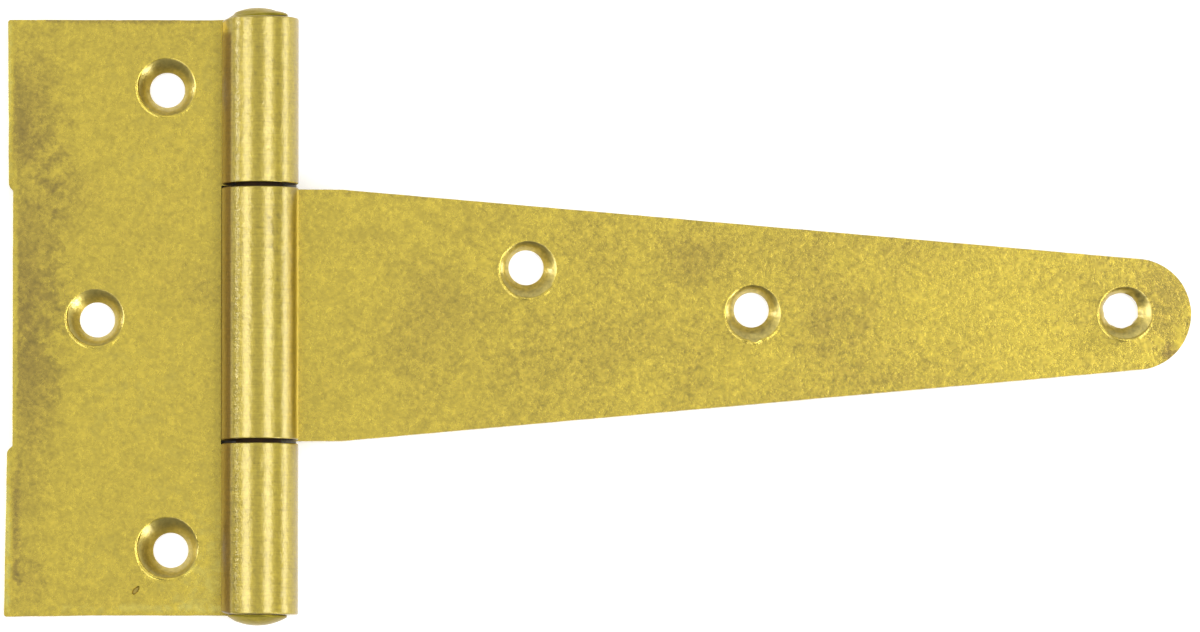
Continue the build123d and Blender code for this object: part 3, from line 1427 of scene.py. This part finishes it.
    def hang_lamps(self) -> None:
        """Hang the softboxes that draw the bright lines along the barrel and the flash in each hole."""
        for box in (
            Softbox("left_softbox", (-3.28, 0.0, 3.77), 2.1, 1.75, 5.6),
            Softbox("right_softbox", (2.07, 0.0, 4.55), 2.0, 1.75, 5.8),
            Softbox("low_softbox", (4.95, 0.0, 0.80), 1.5, 1.75, 5.5),
            Softbox("front_softbox", (-1.3, -1.67, 4.53), 1.4, 1.4, 3.0),
            Softbox("corner_softbox", (3.23, -2.36, 2.13), 1.3, 1.3, 15.0),
            Softbox("side_softbox", (-4.43, 0.78, 1.38), 0.8, 0.8, 11.0),
        ):
            box.hang()


def hinge_pieces(datum: Datum) -> list[Callable[[], bpy.types.Object]]:
    """List the hinge's pieces in the order in which they are made.

    Args:
        datum: Places shared by all the pieces.

    Returns:
        One builder for each piece.
    """
    flap_mounts = ("flap_upper_screw", "flap_middle_screw", "flap_lower_screw")
    upper, middle, lower = (mount_holes(name)[0] for name in flap_mounts)
    root = mount_holes("strap_root_screw")[0]
    inner, outer = mount_holes("strap_row_screws")
    flap_stains_and_edge_light = (
        StainOrEdgeLight(*mm(-39, 38, 8, 13), 0.36),
        StainOrEdgeLight(*mm(-40, 14, 8, 26), 0.4),
        StainOrEdgeLight(*mm(-39, -14, 7, 26), 0.4),
        StainOrEdgeLight(*mm(-31, 22, 5, 5), 0.2),
        StainOrEdgeLight(*mm(-38.5, -44, 3.5, 3.5), 0.35),
        StainOrEdgeLight(*mm(-9.5, 6, 4, 7), 0.2),
        StainOrEdgeLight(*mm(-9, -45, 6, 9), -0.3),
        StainOrEdgeLight(*mm(-40.9, -35, 0.8, 11), 0.35),
        # Painted highlights along the rounded left edge, one for each of its runs.
        StainOrEdgeLight(*mm(-42.2, 36, 0.6, 15), -1.2),
        StainOrEdgeLight(*mm(-41.3, 0, 0.6, 21), -1.0),
        StainOrEdgeLight(*mm(-42.3, -37, 0.6, 14), -1.2),
        # Painted shade along the rounded top edge, and a painted highlight along the rounded bottom edge.
        StainOrEdgeLight(*mm(-22, 50, 20, 0.6), 0.5),
        StainOrEdgeLight(*mm(-20, -48.9, 14, 0.7), -0.4),
    )
    strap_stains_and_crease_shade = (
        StainOrEdgeLight(*mm(100, 0, 75, 70), 0.3),
        StainOrEdgeLight(*mm(73, 10, 6, 5), 0.26),
        StainOrEdgeLight(*mm(99, -3, 9, 9), 0.13),
        StainOrEdgeLight(*mm(30, 2, 16, 14), 0.16),
        # A darker line along the strap's upper edge.
        StainOrEdgeLight(*mm(26, 20.9, 20, 0.8), 0.35),
        # Painted shade in the crease where the strap meets its barrel.
        StainOrEdgeLight(*mm(6.3, 0.4, 0.3, 23), 0.4),
        StainOrEdgeLight(*mm(122, 2, 24, 12), -0.12),
        StainOrEdgeLight(*mm(153, 3, 6, 11), 0.36),
        StainOrEdgeLight(*mm(153.5, -5.5, 1.4, 1.4), 0.5),
    )
    flap_holes = [
        ScrewHole(upper, sink_radius=4.86 * MM, shift=mm(-0.08, 0.49)),
        ScrewHole(middle, sink_radius=4.8 * MM, shift=mm(-0.3, 0.32)),
        ScrewHole(lower, sink_radius=5.12 * MM, shift=mm(-0.46, 0.4), lip=0.1 * MM),
    ]
    strap_holes = [
        ScrewHole(root, sink_radius=4.75 * MM, shift=mm(0.38, -0.35)),
        ScrewHole(inner, sink_radius=4.62 * MM, shift=mm(0.3, -0.5), nick=-88.0),
        ScrewHole(outer, sink_radius=4.4 * MM, shift=mm(0.74, -0.45), lip=0.1 * MM, ragged=0.2 * MM),
    ]
    scars = [Scar(*mm(-20.8, -45.9, 0.9, 0.42), turn=50.0, depth=0.2 * MM)]
    flap_zinc = PassivatedZinc("flap_zinc", flap_stains_and_edge_light)
    strap_zinc = PassivatedZinc("strap_zinc", strap_stains_and_crease_shade)
    pin_zinc = PassivatedZinc(
        "pin_zinc", clean=linear(190, 174, 56), rolled_tone=0.48, lacquer=1.15, lacquer_roughness=0.3
    )
    flap = Flap(datum, flap_zinc, "flap_leaf", "flap", Side.LEFT, flap_holes, scars)
    strap = Strap(datum, strap_zinc, "strap_leaf", "strap", Side.RIGHT, strap_holes)
    pin = Pin(datum, pin_zinc)
    return [flap.build, strap.build, pin.build]


def main() -> None:
    """Build the studio and the hinge in order."""
    logging.basicConfig(level=logging.INFO, format="%(name)s %(message)s")
    bpy.context.scene.view_settings.view_transform = "Standard"
    studio = Studio()
    studio.set_camera()
    studio.light_room()
    studio.lay_floor()
    studio.hang_lamps()
    for build in hinge_pieces(Datum.read()):
        build()


if __name__ == "__main__":
    main()
